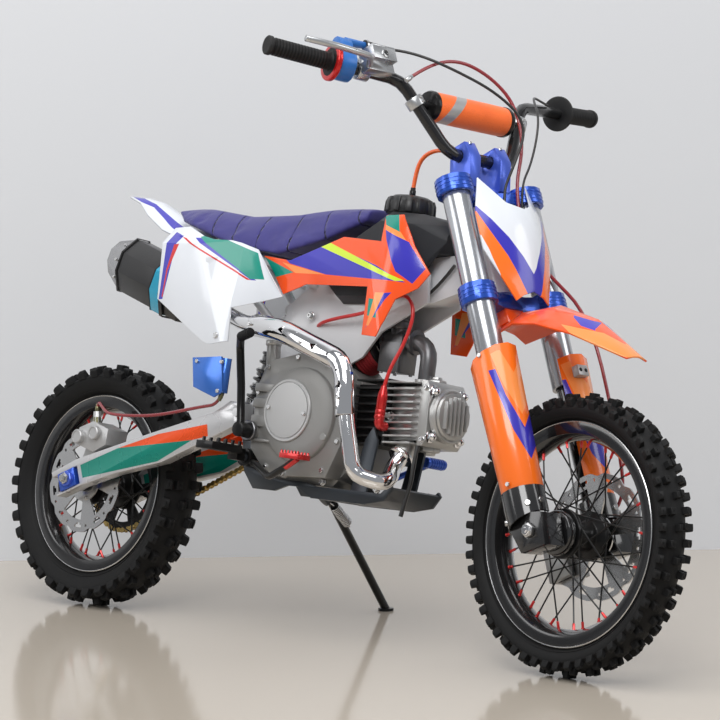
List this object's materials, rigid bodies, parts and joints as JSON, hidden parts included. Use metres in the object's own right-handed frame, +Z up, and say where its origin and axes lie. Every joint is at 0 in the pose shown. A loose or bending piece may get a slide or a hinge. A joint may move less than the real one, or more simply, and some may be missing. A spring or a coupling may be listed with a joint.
{
  "type": "kids dirt bike",
  "caption": "Small off-road motorcycle with knobby tyres, wire wheels, wave discs, finned engine, twin-web frame, tall seat and shrouds, leaning on its side stand.",
  "frame": {"origin": "middle of the parked bike's box, on the floor under it", "axes": "+X towards the front wheel, +Y to the rider's left, +Z up from the floor; the bike leans to +Y on its side stand"},
  "size_m": [1.6496, 0.816, 1.0858],
  "materials": {
    "frame_white": "gloss",
    "slate": "satin",
    "arm_silver": "satin",
    "blue_anodised": "satin",
    "shock_steel": "gloss",
    "engine_grey": "satin",
    "fins_black": "matte",
    "head_silver": "cast",
    "carb_grey": "cast",
    "filter_red": "matte",
    "chrome_pipe": "polished",
    "chrome_shield": "polished",
    "muffler_black": "gloss",
    "seat_indigo": "matte",
    "tank_grey": "satin",
    "cap_black": "matte",
    "orange": "gloss",
    "panel_white": "gloss",
    "black_metal": "satin",
    "red_metal": "gloss",
    "caliper_grey": "cast",
    "hose_red": "satin",
    "chain_gold": "satin",
    "lead_red": "satin",
    "hose_black": "satin",
    "hose_orange": "satin",
    "steel": "satin",
    "clamp_black": "satin",
    "fork_tube_metal": "satin",
    "slider_black": "gloss",
    "bar_grey": "satin",
    "orange_foam": "satin",
    "grip_rubber": "matte",
    "lever_silver": "satin",
    "plate_white": "gloss",
    "hose_dark_red": "satin",
    "tyre": "matte",
    "rim_black": "gloss",
    "disc_steel": "satin"
  },
  "bodies": {
    "chassis": {"air_filter": "filter_red", "brake_pedal": "red_metal", "carburettor": "carb_grey", "chain": "chain_gold", "cradle": "slate", "crankcase": "engine_grey", "cylinder": "fins_black", "cylinder_head": "head_silver", "engine_hoses": "hose_black", "exhaust_pipe": "chrome_pipe", "footpegs": "black_metal", "frame": "frame_white", "fuel_tank": "tank_grey", "heat_shield": "chrome_shield", "kick_starter": "black_metal", "muffler": "muffler_black", "plug_lead": "lead_red", "rear_axle": "blue_anodised", "rear_brake_hose": "hose_red", "rear_caliper": "caliper_grey", "rear_fender": "panel_white", "rear_master_cylinder": "blue_anodised", "seat": "seat_indigo", "shift_lever": "black_metal", "shock": "shock_steel", "shrouds": "orange", "side_panels": "panel_white", "swingarm": "arm_silver", "tank_cap": "cap_black", "vent_hose": "hose_orange"},
    "stand": {"side_stand": "steel", "stand_spring": "steel"},
    "steering": {"bar_cables": "hose_black", "bar_pad": "orange_foam", "brake_lever": "lever_silver", "fork_guards": "orange", "fork_sliders": "slider_black", "fork_tubes": "fork_tube_metal", "front_axle": "steel", "front_brake_hose": "hose_dark_red", "front_caliper": "caliper_grey", "grips": "grip_rubber", "handlebar": "bar_grey", "lower_clamp": "clamp_black", "mudguard": "orange", "number_plate": "plate_white", "throttle_housing": "blue_anodised", "upper_clamp": "blue_anodised"},
    "rear_wheel": {"rear_disc": "disc_steel", "rear_sprocket": "disc_steel", "rear_tyre": "tyre", "rear_wire_wheel": "rim_black"},
    "front_wheel": {"front_disc": "disc_steel", "front_tyre": "tyre", "front_wire_wheel": "rim_black"}
  },
  "joints": [
    {"name": "steering", "type": "hinge", "parent": "chassis", "child": "steering", "pos_m": [0.29669, -0.0592, 0.71404], "axis": [-0.4228, 0.176, 0.889], "range_deg": [-29.7, 40.3]},
    {"name": "front_wheel_spin", "type": "hinge", "parent": "steering", "child": "front_wheel", "pos_m": [0.58342, -0.15827, 0.24008], "axis": [0.0837, 0.9843, -0.1551], "continuous": true},
    {"name": "rear_wheel_spin", "type": "hinge", "parent": "chassis", "child": "rear_wheel", "pos_m": [-0.59136, -0.15478, 0.23116], "axis": [0, 0.981, -0.1942], "continuous": true},
    {"name": "side_stand_fold", "type": "hinge", "parent": "chassis", "child": "stand", "pos_m": [-0.08336, -0.0644, 0.24494], "axis": [0.2579, 0.7442, 0.6162], "range_deg": [0, 71.6]}
  ]
}
